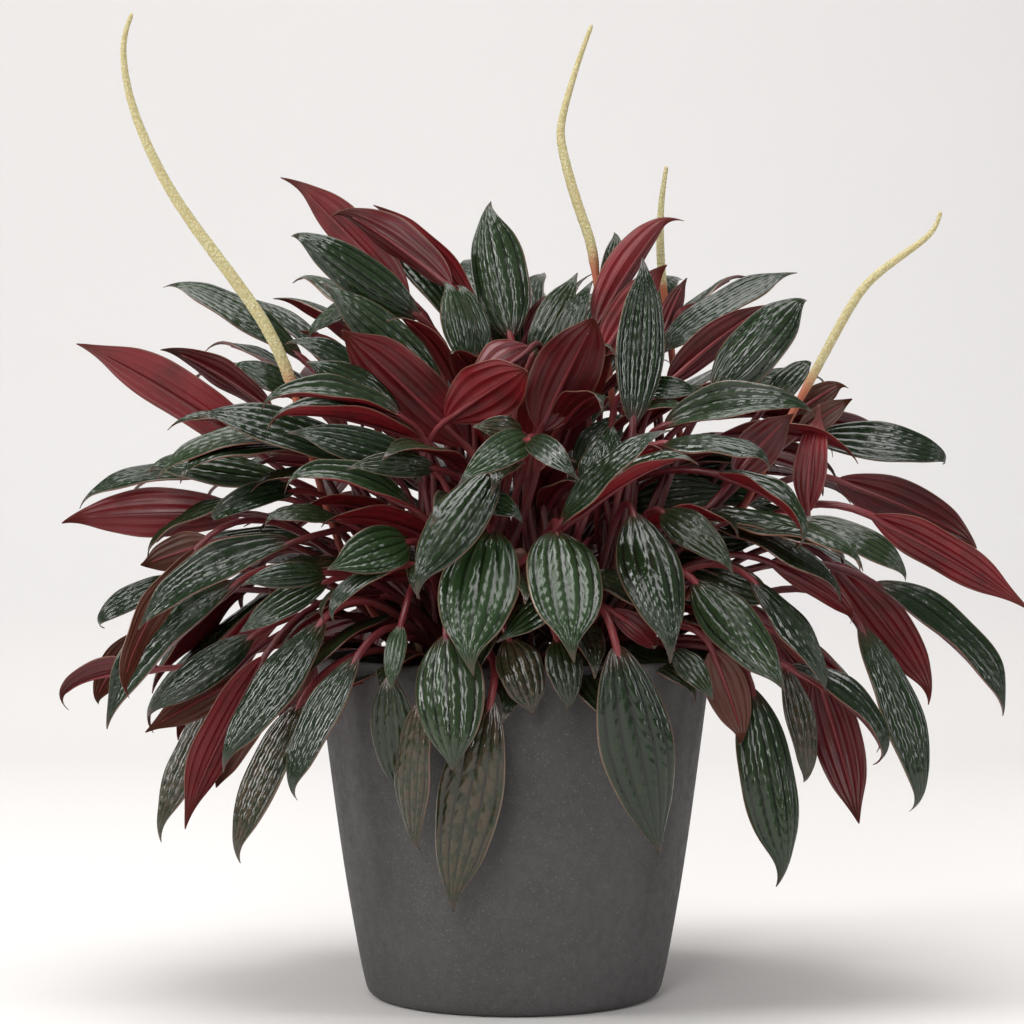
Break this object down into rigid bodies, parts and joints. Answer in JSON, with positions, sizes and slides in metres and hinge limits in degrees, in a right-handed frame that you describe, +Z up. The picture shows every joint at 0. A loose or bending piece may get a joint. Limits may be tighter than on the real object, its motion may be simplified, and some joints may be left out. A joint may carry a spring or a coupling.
{
  "type": "potted ripple peperomia",
  "caption": "Ripple peperomia with long pointed rippled leaves, wine red beneath, on arching stalks with thin upright flower spikes, in a plain round tapered grey pot.",
  "frame": {"origin": "centre of the pot's flat foot, where it stands on the floor", "axes": "+Z up along the pot's axis; +Y points away from the viewer of the picture; +X is the viewer's right"},
  "size_m": [0.3413, 0.2544, 0.345],
  "materials": {
    "pot_stoneware": "matte",
    "soil_dark": "matte",
    "stem_red_green": "satin",
    "spike_cream": "matte",
    "leaf_green": "satin"
  },
  "bodies": {
    "root": {"pot": "pot_stoneware", "potting_soil": "soil_dark", "crown_middle": "stem_red_green", "crown_front_left": "stem_red_green", "crown_front_right": "stem_red_green", "crown_right": "stem_red_green", "crown_left": "stem_red_green", "crown_back": "stem_red_green", "flower_spike_left": "spike_cream", "flower_spike_middle": "spike_cream", "flower_spike_back": "spike_cream", "flower_spike_right": "spike_cream", "leaf_01": "leaf_green", "leaf_02": "leaf_green", "leaf_03": "leaf_green", "leaf_04": "leaf_green", "leaf_05": "leaf_green", "leaf_06": "leaf_green", "leaf_07": "leaf_green", "leaf_08": "leaf_green", "leaf_09": "leaf_green", "leaf_10": "leaf_green", "leaf_11": "leaf_green", "leaf_12": "leaf_green", "leaf_13": "leaf_green", "leaf_14": "leaf_green", "leaf_15": "leaf_green", "leaf_16": "leaf_green", "leaf_17": "leaf_green", "leaf_18": "leaf_green", "leaf_19": "leaf_green", "leaf_20": "leaf_green", "leaf_21": "leaf_green", "leaf_22": "leaf_green", "leaf_23": "leaf_green", "leaf_24": "leaf_green", "leaf_25": "leaf_green", "leaf_26": "leaf_green", "leaf_27": "leaf_green", "leaf_28": "leaf_green", "leaf_29": "leaf_green", "leaf_30": "leaf_green", "leaf_31": "leaf_green", "leaf_32": "leaf_green", "leaf_33": "leaf_green", "leaf_34": "leaf_green", "leaf_35": "leaf_green", "leaf_36": "leaf_green", "leaf_37": "leaf_green", "leaf_38": "leaf_green", "leaf_39": "leaf_green", "leaf_40": "leaf_green", "leaf_41": "leaf_green", "leaf_42": "leaf_green", "leaf_43": "leaf_green", "leaf_44": "leaf_green", "leaf_45": "leaf_green", "leaf_46": "leaf_green", "leaf_47": "leaf_green"}
  },
  "joints": []
}
